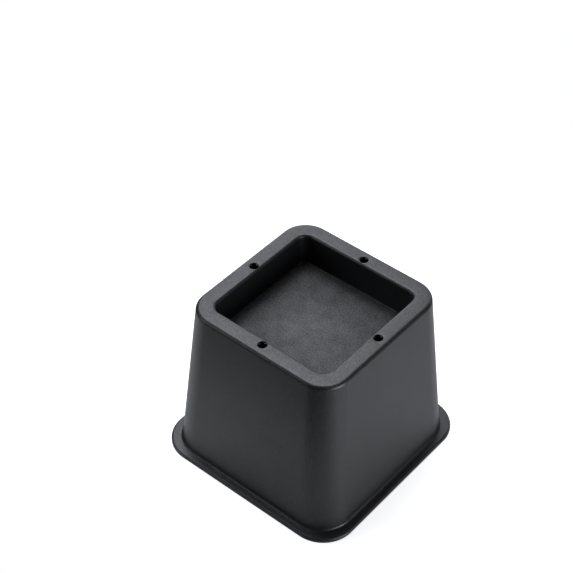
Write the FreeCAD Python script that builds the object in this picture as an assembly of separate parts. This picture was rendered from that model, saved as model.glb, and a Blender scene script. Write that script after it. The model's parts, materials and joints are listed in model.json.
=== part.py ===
import FreeCAD, Part
import math
import os

# Bed riser: a square, hollow, drafted block moulded in one piece, with a foot flange round its base,
# a recess in its top for a furniture leg and four blind holes in the rim.
# Millimetres, +Z up, origin at the middle of the base.

height = 127.0

# Foot flange.
base_width = 154.0
flange_thickness = 3.0
flange_overhang = 5.8
flange_corner_radius = 24.5
flange_edge_radius = 1.5
foot_fillet_radius = 1.5

# Outer wall, which leans in from the foot to the top, with corners that are rounder at the foot.
top_width = 120.4
top_corner_radius = 19.0
foot_corner_radius = 24.0
top_edge_radius = 2.8
wall_thickness = 3.0

# Recess for the leg.
rim_width = 12.5
recess_depth = 23.8
recess_draft = 2.0
recess_corner_radius = 7.0
recess_mouth_radius = 2.0
recess_floor_radius = 1.0
recess_floor_thickness = 3.5

# Blind holes, one at the middle of each side of the rim.
hole_count = 4
hole_diameter = 6.2
hole_inset = 4.4
hole_depth = 14.0
boss_wall = 2.4

# Cross ribs on the underside, thinner towards the floor.
rib_count = 2
rib_root_thickness = 3.4
rib_tip_thickness = 2.2

# Derived sizes.
foot_width = base_width - 2 * flange_overhang
wall_height = height - flange_thickness
wall_slope = (foot_width - top_width) / 2 / wall_height
wall_inset = wall_thickness * math.hypot(1, wall_slope)
corner_growth = (foot_corner_radius - top_corner_radius) / wall_height
mouth_width = top_width - 2 * rim_width
recess_slope = math.tan(math.radians(recess_draft))
recess_wall_inset = wall_thickness * math.hypot(1, recess_slope)
recess_floor = height - recess_depth
hole_radius = hole_diameter / 2
hole_circle_radius = mouth_width / 2 + hole_inset
boss_radius = hole_radius + boss_wall
boss_bottom = height - hole_depth - wall_thickness
overcut = 2.0

up = FreeCAD.Vector(0, 0, 1)
centre = FreeCAD.Vector(0, 0, 0)


# Width and corner radius of the outer wall at a height, taken in by a distance.
def wall_section(z, inset=0.0, radius_inset=0.0):
    drop = height - z
    width = top_width + 2 * wall_slope * drop - 2 * inset
    return width, top_corner_radius + corner_growth * drop - radius_inset


# Width and corner radius of the recess at a height, let out by a distance.
def recess_section(z, outset=0.0, radius_outset=0.0):
    width = mouth_width - 2 * recess_slope * (height - z) + 2 * outset
    return width, recess_corner_radius + radius_outset


# Block on four leaning sides, from one rectangle to another above it.
def leaning_block(low_size, high_size, low, high):
    a, b = low_size[0] / 2, low_size[1] / 2
    c, d = high_size[0] / 2, high_size[1] / 2
    block = Part.makeWedge(-a, low, -b, -d, -c, a, high, b, d, c)
    block.rotate(centre, FreeCAD.Vector(1, 0, 0), 90)
    return block


# Square block whose width follows a rule of height, with upright corners of one radius.
def square_block(section_at, low, high):
    low_width, radius = section_at(low)
    high_width = section_at(high)[0]
    block = leaning_block((low_width, low_width), (high_width, high_width), low, high)
    uprights = [edge for edge in block.Edges if edge.BoundBox.ZLength > (high - low) / 2]
    return block.makeFillet(radius, uprights)


# Square block whose corners are cones, rounder below: the corners of a leaning block are cut off
# by a diamond through the lines where the cones touch its sides, and the cones put back.
def coned_block(section_at, low, high):
    low_width, low_radius = section_at(low)
    high_width, high_radius = section_at(high)
    lean = (low_width - high_width) / 2 / (high - low)
    growth = (low_radius - high_radius) / (high - low)
    drift = lean - growth
    touch = drift * (1 + lean ** 2) / (1 + lean * drift)
    apex_rise = high_radius / growth
    apex_half = high_width / 2 - lean * apex_rise
    apex = FreeCAD.Vector(apex_half, apex_half, high + apex_rise)
    diamond_size = lambda z: (math.sqrt(2) * (2 * apex_half + (lean + touch) * (apex.z - z)),) * 2
    diamond = leaning_block(diamond_size(low), diamond_size(high), low, high)
    diamond.rotate(centre, up, 45)
    axis = FreeCAD.Vector(drift, drift, -1)
    length = (apex.z - low) * axis.Length + low_radius
    half_angle = math.asin(growth / math.hypot(1, lean) / axis.Length)
    cone = Part.makeCone(0, length * math.tan(half_angle), length, apex, axis)
    slab = Part.makeBox(low_width, low_width, high - low, FreeCAD.Vector(0, 0, low))
    corner = cone.common(slab).cut(diamond)
    block = leaning_block((low_width, low_width), (high_width, high_width), low, high).common(diamond)
    corners = [corner.copy() for index in range(4)]
    for index, piece in enumerate(corners):
        piece.rotate(centre, up, 90 * index)
    return block.fuse(corners).removeSplitter()


# Edges that lie in one level plane, no further out from the axis than a reach.
def level_edges(shape, z, reach):
    found = []
    for edge in shape.Edges:
        box = edge.BoundBox
        spread = max(abs(box.XMin), abs(box.XMax), abs(box.YMin), abs(box.YMax))
        if abs(box.ZMin - z) < 0.001 and abs(box.ZMax - z) < 0.001 and spread < reach:
            found.append(edge)
    return found


def make_flange():
    plate = square_block(lambda z: (base_width, flange_corner_radius), 0, flange_thickness)
    return plate.makeFillet(flange_edge_radius, level_edges(plate, flange_thickness, base_width))


# Outer form: leaning wall on its flange, with the top edge and the foot rounded.
def make_outside():
    block = coned_block(wall_section, 0, height)
    block = block.makeFillet(top_edge_radius, level_edges(block, height, top_width))
    outside = block.fuse(make_flange()).removeSplitter()
    foot_reach = foot_width / 2 + flange_overhang / 4
    return outside.makeFillet(foot_fillet_radius, level_edges(outside, flange_thickness, foot_reach))


# Space that the leg stands in.
def make_recess():
    recess = square_block(recess_section, recess_floor, height + overcut)
    return recess.makeFillet(recess_floor_radius, level_edges(recess, recess_floor, mouth_width))


# Tub left round the recess on the hollow side.
def make_tub():
    section_at = lambda z: recess_section(z, recess_wall_inset, wall_thickness)
    return square_block(section_at, recess_floor - recess_floor_thickness, height)


def make_rib(index):
    low_size = (base_width, rib_tip_thickness)
    high_size = (base_width, rib_root_thickness)
    rib = leaning_block(low_size, high_size, -overcut, height)
    rib.rotate(centre, up, index * 180 / rib_count)
    return rib


# Round post at one hole's place.
def make_post(index, radius, low, high):
    post = Part.makeCylinder(radius, high - low, FreeCAD.Vector(hole_circle_radius, 0, low))
    post.rotate(centre, up, index * 360 / hole_count)
    return post


# Hollow of the underside, with the tub, the ribs and the bosses left standing in it.
def make_hollow():
    section_at = lambda z: wall_section(z, wall_inset, wall_thickness)
    hollow = coned_block(section_at, -overcut, height - wall_thickness)
    ribs = [make_rib(index) for index in range(rib_count)]
    bosses = [make_post(index, boss_radius, boss_bottom, height) for index in range(hole_count)]
    return hollow.cut([make_tub()] + ribs + bosses)


def make_riser():
    riser = make_outside().cut(make_recess())
    mouth_reach = mouth_width / 2 + 0.01
    riser = riser.makeFillet(recess_mouth_radius, level_edges(riser, height, mouth_reach))
    riser = riser.cut(make_hollow())
    hole_bottom = height - hole_depth
    holes = [make_post(index, hole_radius, hole_bottom, height + overcut) for index in range(hole_count)]
    return riser.cut(holes).Solids[0]


os.makedirs("parts", exist_ok=True)
riser = make_riser()
riser.exportStep("parts/riser.step")
print("riser", riser.ShapeType, "valid" if riser.isValid() else "not valid", round(riser.Volume), "cubic mm")
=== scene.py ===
import json
import math

import bmesh
import bpy
from mathutils import Matrix, Vector


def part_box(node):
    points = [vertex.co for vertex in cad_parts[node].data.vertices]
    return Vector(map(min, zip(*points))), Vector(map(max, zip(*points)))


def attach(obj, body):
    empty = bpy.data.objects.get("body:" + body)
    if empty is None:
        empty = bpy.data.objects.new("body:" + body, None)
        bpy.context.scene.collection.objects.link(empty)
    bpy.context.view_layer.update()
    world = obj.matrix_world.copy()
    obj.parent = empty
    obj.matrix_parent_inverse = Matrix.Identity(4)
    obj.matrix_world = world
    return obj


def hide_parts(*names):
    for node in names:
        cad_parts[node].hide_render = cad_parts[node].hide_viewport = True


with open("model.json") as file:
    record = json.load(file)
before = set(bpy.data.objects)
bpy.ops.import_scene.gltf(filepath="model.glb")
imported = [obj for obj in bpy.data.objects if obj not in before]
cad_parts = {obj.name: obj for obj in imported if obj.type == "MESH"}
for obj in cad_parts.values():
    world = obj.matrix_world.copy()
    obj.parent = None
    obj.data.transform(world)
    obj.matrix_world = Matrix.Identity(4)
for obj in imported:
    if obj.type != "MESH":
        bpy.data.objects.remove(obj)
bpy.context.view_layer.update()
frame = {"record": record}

scene = bpy.context.scene
mounts = {mount["name"]: mount for mount in frame["record"]["mounts"]}
seatHeight = mounts["leg_seat"]["pos_m"][2]
quarterTurn = math.pi / 2


# a node with its settings, its inputs linked or set
def addNode(tree, kind, inputs=None, **settings):
    made = tree.nodes.new(kind)
    for name, value in settings.items():
        setattr(made, name, value)
    for key, value in (inputs or {}).items():
        if isinstance(value, bpy.types.NodeSocket):
            tree.links.new(value, made.inputs[key])
        else:
            made.inputs[key].default_value = value
    return made


def calc(tree, operation, first, second=0.0, clamped=False):
    made = addNode(tree, "ShaderNodeMath", {0: first, 1: second}, operation=operation, use_clamp=clamped)
    return made.outputs[0]


def countMath(tree, operation, first, second):
    made = addNode(tree, "FunctionNodeIntegerMath", {0: first, 1: second}, operation=operation)
    return made.outputs[0]


def addMesh(name, bm):
    bmesh.ops.recalc_face_normals(bm, faces=bm.faces)
    mesh = bpy.data.meshes.new(name)
    bm.to_mesh(mesh)
    bm.free()
    made = bpy.data.objects.new(name, mesh)
    scene.collection.objects.link(made)
    return made


# unit vector towards a place round from the front and up from the floor
def direction(azimuth, elevation):
    level = math.cos(elevation)
    return Vector((math.sin(azimuth) * level, -math.cos(azimuth) * level, math.sin(elevation)))


# black polypropylene as it leaves the mould: a fine spark grain that shows most on the level faces,
# a little unevenness in the gloss, and a blotchy seat in the recess, rougher towards its edges, where painted
# shade also weakens its reflection towards the recess walls
mouldedBlack = {
    "colour": (0.0050, 0.0051, 0.0056, 1.0),
    "ior": 1.5,
    "roughness": 0.42,
    "shine": 0.5,
    "noiseDetail": 3.0,
    "noiseRange": (0.3, 0.7),  # where nearly all of the noise lies
    "cloudScale": 55.0,
    "cloudSpread": 0.015,
    "grainScale": 950.0,
    "grainDepth": 0.00003,
    "grainOnWalls": 0.03,
    "grainOnLevel": 0.14,
    "grainOnSeat": 0.2,
    "levelRange": (0.6, 0.95),  # upward part of the normal, from wall to level face
    "blotchScale": 130.0,
    "blotchSpread": 0.08,
    "seatReach": 0.047,
    "seatBand": 0.0005,
    "seatDull": 0.08,
    # painted shade: how much the seat's reflection is weakened at the recess walls
    "seatPaintedShade": 0.16,
}


def makeMouldedBlack():
    look = mouldedBlack
    material = bpy.data.materials.new("mouldedBlack")
    material.use_nodes = True
    tree = material.node_tree
    shader = tree.nodes["Principled BSDF"]
    shader.inputs["Base Color"].default_value = look["colour"]
    shader.inputs["IOR"].default_value = look["ior"]
    place = addNode(tree, "ShaderNodeTexCoord").outputs["Object"]

    def between(value, limits, start, end):
        made = addNode(tree, "ShaderNodeMapRange", {
            "Value": value, "From Min": limits[0], "From Max": limits[1], "To Min": start, "To Max": end})
        return made.outputs["Result"]

    def noise(scale, spread):
        made = addNode(tree, "ShaderNodeTexNoise", {
            "Vector": place, "Scale": scale, "Detail": look["noiseDetail"]})
        return between(made.outputs["Fac"], look["noiseRange"], -spread, spread)

    # the seat, and the way out on it from its middle
    axes = addNode(tree, "ShaderNodeSeparateXYZ", {0: place}).outputs
    reach = calc(tree, "MAXIMUM", calc(tree, "ABSOLUTE", axes["X"]), calc(tree, "ABSOLUTE", axes["Y"]))
    rise = calc(tree, "ABSOLUTE", calc(tree, "SUBTRACT", axes["Z"], seatHeight))
    isWithin = calc(tree, "LESS_THAN", reach, look["seatReach"])
    onSeat = calc(tree, "MULTIPLY", isWithin, calc(tree, "LESS_THAN", rise, look["seatBand"]))
    outward = calc(tree, "DIVIDE", reach, look["seatReach"])

    cloud = calc(tree, "ADD", noise(look["cloudScale"], look["cloudSpread"]), look["roughness"])
    dull = calc(tree, "MULTIPLY", calc(tree, "MULTIPLY", outward, onSeat), look["seatDull"])
    tree.links.new(calc(tree, "ADD", cloud, dull), shader.inputs["Roughness"])

    normal = addNode(tree, "ShaderNodeNewGeometry").outputs["Normal"]
    upward = addNode(tree, "ShaderNodeSeparateXYZ", {0: normal}).outputs["Z"]
    byFacing = between(upward, look["levelRange"], look["grainOnWalls"], look["grainOnLevel"])
    seatExtra = calc(tree, "MULTIPLY", onSeat, look["grainOnSeat"] - look["grainOnLevel"])
    grain = noise(look["grainScale"], 1.0)
    speck = calc(tree, "MULTIPLY", grain, calc(tree, "ADD", byFacing, seatExtra))
    # painted shade on the seat: its reflection grows weaker from the middle out towards the recess walls,
    # added to the random blotches
    paintedSeatShade = calc(tree, "MULTIPLY", outward, look["seatPaintedShade"])
    blotchAndPaintedShade = calc(tree, "SUBTRACT", noise(look["blotchScale"], look["blotchSpread"]), paintedSeatShade)
    plainShine = calc(tree, "ADD", speck, look["shine"])
    shine = calc(tree, "ADD", plainShine, calc(tree, "MULTIPLY", blotchAndPaintedShade, onSeat))
    tree.links.new(shine, shader.inputs["Specular IOR Level"])

    bump = addNode(tree, "ShaderNodeBump", {"Height": grain, "Distance": look["grainDepth"], "Strength": 1.0})
    tree.links.new(bump.outputs["Normal"], shader.inputs["Normal"])
    return material


plastic = makeMouldedBlack()
print("plastic made")

# the riser: rings of a rounded square along one section, then ribs, bosses and holes
riser = {
    "flangeThickness": 0.003,
    "flangeOverhang": 0.0058,
    "flangeCorner": 0.0245,
    "flangeEdge": 0.0015,
    "floorEdge": 0.0003,
    "footFillet": 0.0015,
    "topWidth": 0.1204,
    "topCorner": 0.019,
    "footCorner": 0.024,
    "topEdge": 0.0028,
    "wall": 0.003,
    "rimWidth": 0.0125,
    "recessDraft": math.radians(2),
    "recessCorner": 0.007,
    "mouthEdge": 0.002,
    "recessFillet": 0.001,
    "recessFloor": 0.0035,
    "holeDepth": 0.014,
    "holeEdge": 0.0003,
    "gripCount": 4,
    "gripReach": 0.0008,
    "gripTop": 0.0008,
    "gripHalfTurn": math.radians(13),
    "bossWall": 0.0024,
    "ribRoot": 0.0034,
    "ribTip": 0.0022,
    "ribCount": 2,
    "sharpAngle": math.radians(32),
    "seamGap": 0.000001,
    "steps": {
        "corner": 32,
        "side": 14,
        "recessFillet": 6,
        "mouthEdge": 9,
        "topEdge": 10,
        "footFillet": 7,
        "flangeEdge": 7,
        "floorEdge": 3,
        "holeEdge": 4,
        "hole": 72,
        "boss": 48,
    },
}

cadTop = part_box("riser")[1]
height = cadTop.z
baseHalf = cadTop.x
holePattern = mounts["rim_holes"]["dims"]
holeCircle = holePattern["pcd_mm"] / 2000
holeRadius = holePattern["hole_r_mm"] / 1000
wallHeight = height - riser["flangeThickness"]
wallSlope = (baseHalf - riser["flangeOverhang"] - riser["topWidth"] / 2) / wallHeight
wallLean = math.atan(wallSlope)
cornerGrowth = (riser["footCorner"] - riser["topCorner"]) / wallHeight
recessSlope = math.tan(riser["recessDraft"])


def wallHalf(z):
    return riser["topWidth"] / 2 + wallSlope * (height - z)


# the corners of the wall are rounder towards the foot
def wallCorner(z):
    return riser["topCorner"] + cornerGrowth * (height - z)


def recessHalf(z):
    return riser["topWidth"] / 2 - riser["rimWidth"] - recessSlope * (height - z)


def hollowHalf(z):
    return wallHalf(z) - riser["wall"] / math.cos(wallLean)


def tubHalf(z):
    return recessHalf(z) + riser["wall"] / math.cos(riser["recessDraft"])


# points round one of the rounded edges: distance out from the axis, height
def edgeArc(name, out, up, start, end):
    radius, steps = riser[name], riser["steps"][name]
    turns = [start + (end - start) * step / steps for step in range(steps + 1)]
    return [(out + radius * math.cos(turn), up + radius * math.sin(turn)) for turn in turns]


# section from the middle of the recess floor over the rim, down the wall, under the flange and up inside;
# each row is half width, corner radius, height
def sectionRows():
    rows = []
    draft = riser["recessDraft"]

    def ring(points, cornerCentre):
        for out, up in points:
            rows.append((out, out - cornerCentre(up), up))

    def inRecess(z):
        return recessHalf(z) - riser["recessCorner"]

    def inWall(z):
        return wallHalf(z) - wallCorner(z)

    def inFlange(z):
        return baseHalf - riser["flangeCorner"]

    def inHollow(z):
        return hollowHalf(z) - wallCorner(z) + riser["wall"]

    def inTub(z):
        return tubHalf(z) - riser["recessCorner"] - riser["wall"]

    fillet = riser["recessFillet"]
    up = seatHeight + fillet
    out = recessHalf(up) - fillet / math.cos(draft)
    rows.append((0.0, 0.0, seatHeight))
    rows.append((out / 2, riser["recessCorner"] / 2, seatHeight))
    ring(edgeArc("recessFillet", out, up, -quarterTurn, -draft), inRecess)

    edge = riser["mouthEdge"]
    up = height - edge
    out = recessHalf(up) + edge / math.cos(draft)
    ring(edgeArc("mouthEdge", out, up, math.pi - draft, quarterTurn), inRecess)

    edge = riser["topEdge"]
    up = height - edge
    out = wallHalf(up) - edge / math.cos(wallLean)
    ring(edgeArc("topEdge", out, up, quarterTurn, wallLean), inWall)

    fillet = riser["footFillet"]
    up = riser["flangeThickness"] + fillet
    out = wallHalf(up) + fillet / math.cos(wallLean)
    ring(edgeArc("footFillet", out, up, math.pi + wallLean, 3 * quarterTurn), inWall)

    edge = riser["flangeEdge"]
    ring(edgeArc("flangeEdge", baseHalf - edge, riser["flangeThickness"] - edge, quarterTurn, 0), inFlange)
    edge = riser["floorEdge"]
    ring(edgeArc("floorEdge", baseHalf - edge, edge, 0, -quarterTurn), inFlange)

    roof = height - riser["wall"]
    tubFloor = seatHeight - riser["recessFloor"]
    ring([(hollowHalf(z), z) for z in (0, roof)], inHollow)
    ring([(tubHalf(z), z) for z in (roof, tubFloor)], inTub)
    rows.append((tubHalf(tubFloor) / 2, riser["recessCorner"] / 2, tubFloor))
    rows.append((0.0, 0.0, tubFloor))
    return rows


def makeSection():
    rows = sectionRows()
    mesh = bpy.data.meshes.new("riserSection")
    edges = [(spot, spot + 1) for spot in range(len(rows) - 1)]
    mesh.from_pydata([(half, 0, z) for half, corner, z in rows], edges, [])
    corners = mesh.attributes.new("corner", "FLOAT", "POINT")
    corners.data.foreach_set("value", [corner for half, corner, z in rows])
    made = bpy.data.objects.new("riser", mesh)
    scene.collection.objects.link(made)
    return made


# flat plate under the recess, following the leaning wall and the tub, thinner towards the floor
def makeRib():
    bite = riser["wall"] / 2
    roof = height - bite
    tubFloor = seatHeight - riser["recessFloor"] / 2
    outline = [(hollowHalf(0) + bite, 0), (hollowHalf(roof) + bite, roof), (tubHalf(roof) - bite, roof),
               (tubHalf(tubFloor) - bite, tubFloor)]
    outline += [(-out, z) for out, z in reversed(outline)]

    def thickness(z):
        return riser["ribTip"] + (riser["ribRoot"] - riser["ribTip"]) * z / height

    bm = bmesh.new()
    faces = []
    for side in (1, -1):
        faces.append([bm.verts.new((out, side * thickness(z) / 2, z)) for out, z in outline])
    for face in faces:
        bm.faces.new(face)
    for spot in range(len(outline)):
        after = (spot + 1) % len(outline)
        bm.faces.new((faces[0][spot], faces[0][after], faces[1][after], faces[1][spot]))
    return addMesh("rib", bm)


# 1 on the crown of a grip rib, 0 between the ribs
def gripShare(turn):
    pitch = math.tau / riser["gripCount"]
    offset = abs((turn + pitch / 2) % pitch - pitch / 2)
    return max(0.0, 1.0 - (offset / riser["gripHalfTurn"]) ** 2)


# round post standing at the first hole's place; each row is radius, height, depth of the grip grooves
def makePost(name, rows, inside=0.0):
    bm = bmesh.new()
    rings = []
    steps = riser["steps"][name]
    turns = [math.tau * step / steps for step in range(steps)]
    for radius, z, groove in rows:
        spots = []
        for turn in turns:
            reach = radius - groove * gripShare(turn)
            spots.append((max(holeCircle + reach * math.cos(turn), inside), reach * math.sin(turn), z))
        rings.append([bm.verts.new(spot) for spot in spots])
    for lower, upper in zip(rings, rings[1:]):
        for step in range(steps):
            after = (step + 1) % steps
            bm.faces.new((lower[step], lower[after], upper[after], upper[step]))
    bm.faces.new(rings[0])
    bm.faces.new(rings[-1])
    return addMesh(name, bm)


def makeBoss():
    radius = holeRadius + riser["bossWall"]
    foot = height - riser["holeDepth"] - riser["wall"]
    inside = recessHalf(height) + riser["wall"] / 2
    return makePost("boss", [(radius, foot, 0), (radius, height - riser["wall"] / 2, 0)], inside)


# plain mouth with its edge eased, grip ribs below it
def makeHole():
    edge = riser["holeEdge"]
    gripTop = height - riser["gripTop"]
    rows = [(holeRadius, z, riser["gripReach"]) for z in (height - riser["holeDepth"], gripTop - edge / 2)]
    rows.append((holeRadius, gripTop, 0))
    mouth = edgeArc("holeEdge", holeRadius + edge, height - edge, math.pi, quarterTurn)
    rows += [(out, up, 0) for out, up in mouth]
    rows.append((holeRadius + edge, height + 2 * edge, 0))
    return makePost("hole", rows)


# copies of a piece turned round the axis
def turnedCopies(tree, piece, count, span):
    spots = addNode(tree, "GeometryNodeMeshLine", {"Count": count, "Offset": (0, 0, 0)})
    order = addNode(tree, "GeometryNodeInputIndex").outputs[0]
    step = calc(tree, "DIVIDE", span, count)
    turn = addNode(tree, "ShaderNodeCombineXYZ", {"Z": calc(tree, "MULTIPLY", order, step)})
    shape = addNode(tree, "GeometryNodeObjectInfo", {"Object": piece})
    copies = addNode(tree, "GeometryNodeInstanceOnPoints", {
        "Points": spots.outputs[0], "Instance": shape.outputs["Geometry"], "Rotation": turn.outputs[0]})
    return addNode(tree, "GeometryNodeRealizeInstances", {0: copies.outputs[0]}).outputs[0]


# a grid with one row for each point of the section and one column for each step round the square
def sweepSection(tree, given):
    section, cornerSteps, sideSteps = given["Section"], given["Corner Steps"], given["Side Steps"]
    rowCount = addNode(tree, "GeometryNodeAttributeDomainSize", {0: section}).outputs["Point Count"]
    quarterSteps = countMath(tree, "ADD", cornerSteps, sideSteps)
    ringSteps = countMath(tree, "ADD", countMath(tree, "MULTIPLY", quarterSteps, 4), 1)
    grid = addNode(tree, "GeometryNodeMeshGrid", {"Vertices X": rowCount, "Vertices Y": ringSteps})
    order = addNode(tree, "GeometryNodeInputIndex").outputs[0]
    row = countMath(tree, "DIVIDE", order, ringSteps)
    column = countMath(tree, "MODULO", order, ringSteps)
    quarter = countMath(tree, "DIVIDE", column, quarterSteps)
    step = countMath(tree, "MODULO", column, quarterSteps)

    def atRow(value, kind):
        sampled = {"Geometry": section, "Value": value, "Index": row}
        return addNode(tree, "GeometryNodeSampleIndex", sampled, data_type=kind).outputs[0]

    spot = addNode(tree, "GeometryNodeInputPosition").outputs[0]
    axes = addNode(tree, "ShaderNodeSeparateXYZ", {0: atRow(spot, "FLOAT_VECTOR")}).outputs
    corner = addNode(tree, "GeometryNodeInputNamedAttribute", {"Name": "corner"}, data_type="FLOAT")
    radius = atRow(corner.outputs[0], "FLOAT")
    straight = calc(tree, "SUBTRACT", axes["X"], radius)

    # along one side, then round its corner, then turned to its quarter of the ring
    sideShare = calc(tree, "DIVIDE", step, sideSteps, clamped=True)
    along = calc(tree, "SUBTRACT", calc(tree, "MULTIPLY", sideShare, 2.0), 1.0)
    pastSide = calc(tree, "SUBTRACT", step, sideSteps)
    cornerShare = calc(tree, "DIVIDE", pastSide, cornerSteps, clamped=True)
    angle = calc(tree, "MULTIPLY", cornerShare, quarterTurn)
    cornerX = calc(tree, "MULTIPLY", radius, calc(tree, "COSINE", angle))
    cornerY = calc(tree, "MULTIPLY", radius, calc(tree, "SINE", angle))
    outX = calc(tree, "ADD", straight, cornerX)
    outY = calc(tree, "ADD", calc(tree, "MULTIPLY", straight, along), cornerY)
    place = addNode(tree, "ShaderNodeCombineXYZ", {"X": outX, "Y": outY, "Z": axes["Z"]})
    turn = calc(tree, "MULTIPLY", quarter, quarterTurn)
    turned = addNode(tree, "ShaderNodeVectorRotate", {
        "Vector": place.outputs[0], "Angle": turn}, rotation_type="Z_AXIS")
    swept = addNode(tree, "GeometryNodeSetPosition", {
        "Geometry": grid.outputs["Mesh"], "Position": turned.outputs[0]})
    return addNode(tree, "GeometryNodeMergeByDistance", {
        "Geometry": swept.outputs[0], "Distance": riser["seamGap"]}).outputs[0]


def makeRiserTree():
    tree = bpy.data.node_groups.new("squareSweep", "GeometryNodeTree")
    sockets = [("Section", "Geometry"), ("Corner Steps", "Int"), ("Side Steps", "Int"), ("Rib", "Object"),
               ("Rib Count", "Int"), ("Boss", "Object"), ("Hole", "Object"), ("Hole Count", "Int"),
               ("Sharp Angle", "Float"), ("Finish", "Material")]
    for name, kind in sockets:
        tree.interface.new_socket(name, in_out="INPUT", socket_type="NodeSocket" + kind)
    tree.interface.new_socket("Riser", in_out="OUTPUT", socket_type="NodeSocketGeometry")
    given = addNode(tree, "NodeGroupInput").outputs

    shell = sweepSection(tree, given)
    ribs = turnedCopies(tree, given["Rib"], given["Rib Count"], math.pi)
    bosses = turnedCopies(tree, given["Boss"], given["Hole Count"], math.tau)
    holes = turnedCopies(tree, given["Hole"], given["Hole Count"], math.tau)
    body = addNode(tree, "GeometryNodeMeshBoolean", operation="UNION", solver="EXACT")
    for part in (bosses, ribs, shell):
        tree.links.new(part, body.inputs["Mesh 2"])
    body.inputs["Self Intersection"].default_value = True
    drilled = addNode(tree, "GeometryNodeMeshBoolean", {"Mesh 1": body.outputs["Mesh"], "Mesh 2": holes},
                      operation="DIFFERENCE", solver="EXACT")

    # smooth all over, but for the sharp edges
    smooth = addNode(tree, "GeometryNodeSetShadeSmooth", {
        "Geometry": drilled.outputs["Mesh"], "Shade Smooth": True}, domain="FACE")
    bend = addNode(tree, "GeometryNodeInputMeshEdgeAngle").outputs["Unsigned Angle"]
    isSharp = calc(tree, "GREATER_THAN", bend, given["Sharp Angle"])
    creased = addNode(tree, "GeometryNodeSetShadeSmooth", {
        "Geometry": smooth.outputs[0], "Selection": isSharp, "Shade Smooth": False}, domain="EDGE")
    real = addNode(tree, "GeometryNodeRealizeInstances", {0: creased.outputs[0]})
    finished = addNode(tree, "GeometryNodeSetMaterial", {
        "Geometry": real.outputs[0], "Material": given["Finish"]})
    addNode(tree, "NodeGroupOutput", {"Riser": finished.outputs[0]})
    return tree


def makeRiser():
    made = makeSection()
    helpers = {"Rib": makeRib(), "Boss": makeBoss(), "Hole": makeHole()}
    tree = makeRiserTree()
    modifier = made.modifiers.new("squareSweep", "NODES")
    modifier.node_group = tree
    values = {"Corner Steps": riser["steps"]["corner"], "Side Steps": riser["steps"]["side"],
              "Rib Count": riser["ribCount"], "Hole Count": holePattern["count"],
              "Sharp Angle": riser["sharpAngle"], "Finish": plastic}
    values.update(helpers)
    for item in tree.interface.items_tree:
        if item.name in values:
            modifier[item.identifier] = values[item.name]
    view = bpy.context.evaluated_depsgraph_get()
    mesh = bpy.data.meshes.new_from_object(made.evaluated_get(view))
    made.modifiers.remove(modifier)
    made.data = mesh
    mesh.name = "riser"
    for helper in helpers.values():
        bpy.data.objects.remove(helper)
    return made


moulding = makeRiser()
moulding.name = "riserMoulding"
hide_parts("riser")
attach(moulding, "root")
print("riser made:", len(moulding.data.vertices), "vertices,", len(moulding.data.polygons), "faces")

# white sweep under soft studio light
studio = {
    "white": (1.0, 1.0, 1.0, 1.0),
    "floorSize": 0.6,
    "floorFront": -0.19,
    "floorColour": (0.8, 0.8, 0.8, 1.0),
    "floorGlowSeen": 0.705,
    "floorGlowMirrored": 0.1,
    "worldLight": 0.02,
    "worldGlowSeen": 0.98,
    "worldGlowMirrored": 0.02,
    "lampDistance": 1.3,
    "lampAim": (0.0, 0.0, 0.08),
    "lampColour": (0.905, 0.925, 1.0),
}

# each softbox: degrees round from the front and up, width and height, power in watts
softboxes = {
    "right": {"azimuth": 88, "elevation": 3, "size": (0.6, 0.45), "power": 14.8},
    "rightHigh": {"azimuth": 90, "elevation": 46, "size": (0.6, 0.6), "power": 1.2},
    "backTall": {"azimuth": 225, "elevation": 38, "size": (0.7, 1.6), "power": 8.4},
    "backLow": {"azimuth": 225, "elevation": 4, "size": (0.7, 0.6), "power": 3.8},
    "backRight": {"azimuth": 182, "elevation": 22, "size": (0.6, 0.7), "power": 3.6},
    "topLeft": {"azimuth": 242, "elevation": 69, "size": (0.7, 0.7), "power": 11.6},
    "frontLeft": {"azimuth": 315, "elevation": 22, "size": (0.6, 0.6), "power": 4.1},
}


# glow that the camera sees, and more weakly reflections and glass, but that lights nothing
def backgroundGlow(tree, seenStrength, mirroredStrength):
    path = addNode(tree, "ShaderNodeLightPath").outputs
    mirrored = calc(tree, "MAXIMUM", path["Is Glossy Ray"], path["Is Transmission Ray"])
    seen = calc(tree, "MULTIPLY", path["Is Camera Ray"], seenStrength)
    return calc(tree, "ADD", seen, calc(tree, "MULTIPLY", mirrored, mirroredStrength))


# pale to the light, so that it keeps a shadow, and nearer white to the camera
def makeFloor():
    half = studio["floorSize"] / 2
    bm = bmesh.new()
    bmesh.ops.create_grid(bm, x_segments=1, y_segments=1, size=half)
    bmesh.ops.translate(bm, verts=bm.verts, vec=(0, studio["floorFront"] + half, 0))
    made = addMesh("floor", bm)
    material = bpy.data.materials.new("paleSweep")
    material.use_nodes = True
    tree = material.node_tree
    tree.nodes.clear()
    glow = backgroundGlow(tree, studio["floorGlowSeen"], studio["floorGlowMirrored"])
    lit = addNode(tree, "ShaderNodeBsdfDiffuse", {"Color": studio["floorColour"]})
    shining = addNode(tree, "ShaderNodeEmission", {"Color": studio["white"], "Strength": glow})
    both = addNode(tree, "ShaderNodeAddShader", {0: lit.outputs[0], 1: shining.outputs[0]})
    addNode(tree, "ShaderNodeOutputMaterial", {"Surface": both.outputs[0]})
    made.data.materials.append(material)
    return made


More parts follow.
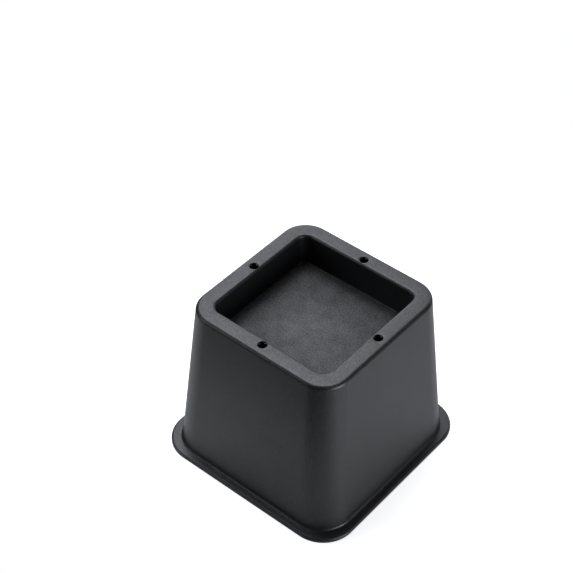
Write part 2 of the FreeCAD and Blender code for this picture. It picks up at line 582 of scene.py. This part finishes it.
def makeWorld():
    world = bpy.data.worlds.new("studio")
    world.use_nodes = True
    tree = world.node_tree
    back = tree.nodes["Background"]
    back.inputs["Color"].default_value = studio["white"]
    glow = backgroundGlow(tree, studio["worldGlowSeen"], studio["worldGlowMirrored"])
    tree.links.new(calc(tree, "ADD", glow, studio["worldLight"]), back.inputs["Strength"])
    scene.world = world


def makeSoftbox(name, box):
    lamp = bpy.data.lights.new(name + "Softbox", "AREA")
    lamp.shape = "RECTANGLE"
    lamp.size, lamp.size_y = box["size"]
    lamp.energy = box["power"]
    lamp.color = studio["lampColour"]
    away = direction(math.radians(box["azimuth"]), math.radians(box["elevation"]))
    made = bpy.data.objects.new(lamp.name, lamp)
    made.location = Vector(studio["lampAim"]) + away * studio["lampDistance"]
    made.rotation_euler = away.to_track_quat("Z", "Y").to_euler()
    scene.collection.objects.link(made)


makeFloor()
makeWorld()
for name, box in softboxes.items():
    makeSoftbox(name, box)
print("studio made")

# camera at the photograph's viewing angle; the rim's middle falls at the stated place in the frame
shot = {
    "azimuth": math.radians(39.75),
    "elevation": math.radians(43.336),
    "roll": math.radians(0.358),
    "distance": 0.990516,
    "lens": 95.757,
    "sensor": 36.0,
    "frameSize": 573,
    "rimAt": (314.611, 301.05),
}


def makeCamera():
    azimuth, roll = shot["azimuth"], shot["roll"]
    away = direction(azimuth, shot["elevation"])
    level = Vector((math.cos(azimuth), math.sin(azimuth), 0))
    rise = away.cross(level)
    right = math.cos(roll) * level + math.sin(roll) * rise
    up = math.cos(roll) * rise - math.sin(roll) * level
    perPixel = shot["distance"] * shot["sensor"] / shot["lens"] / shot["frameSize"]
    across = (shot["rimAt"][0] - shot["frameSize"] / 2) * perPixel
    down = (shot["rimAt"][1] - shot["frameSize"] / 2) * perPixel
    place = Vector((0, 0, height)) + away * shot["distance"] - right * across + up * down
    lens = bpy.data.cameras.new("photoCamera")
    lens.lens = shot["lens"]
    lens.sensor_width = shot["sensor"]
    made = bpy.data.objects.new("photoCamera", lens)
    made.matrix_world = Matrix.Translation(place) @ Matrix((right, up, away)).transposed().to_4x4()
    scene.collection.objects.link(made)
    scene.camera = made


makeCamera()
scene.view_settings.view_transform = "Standard"
print("camera set")
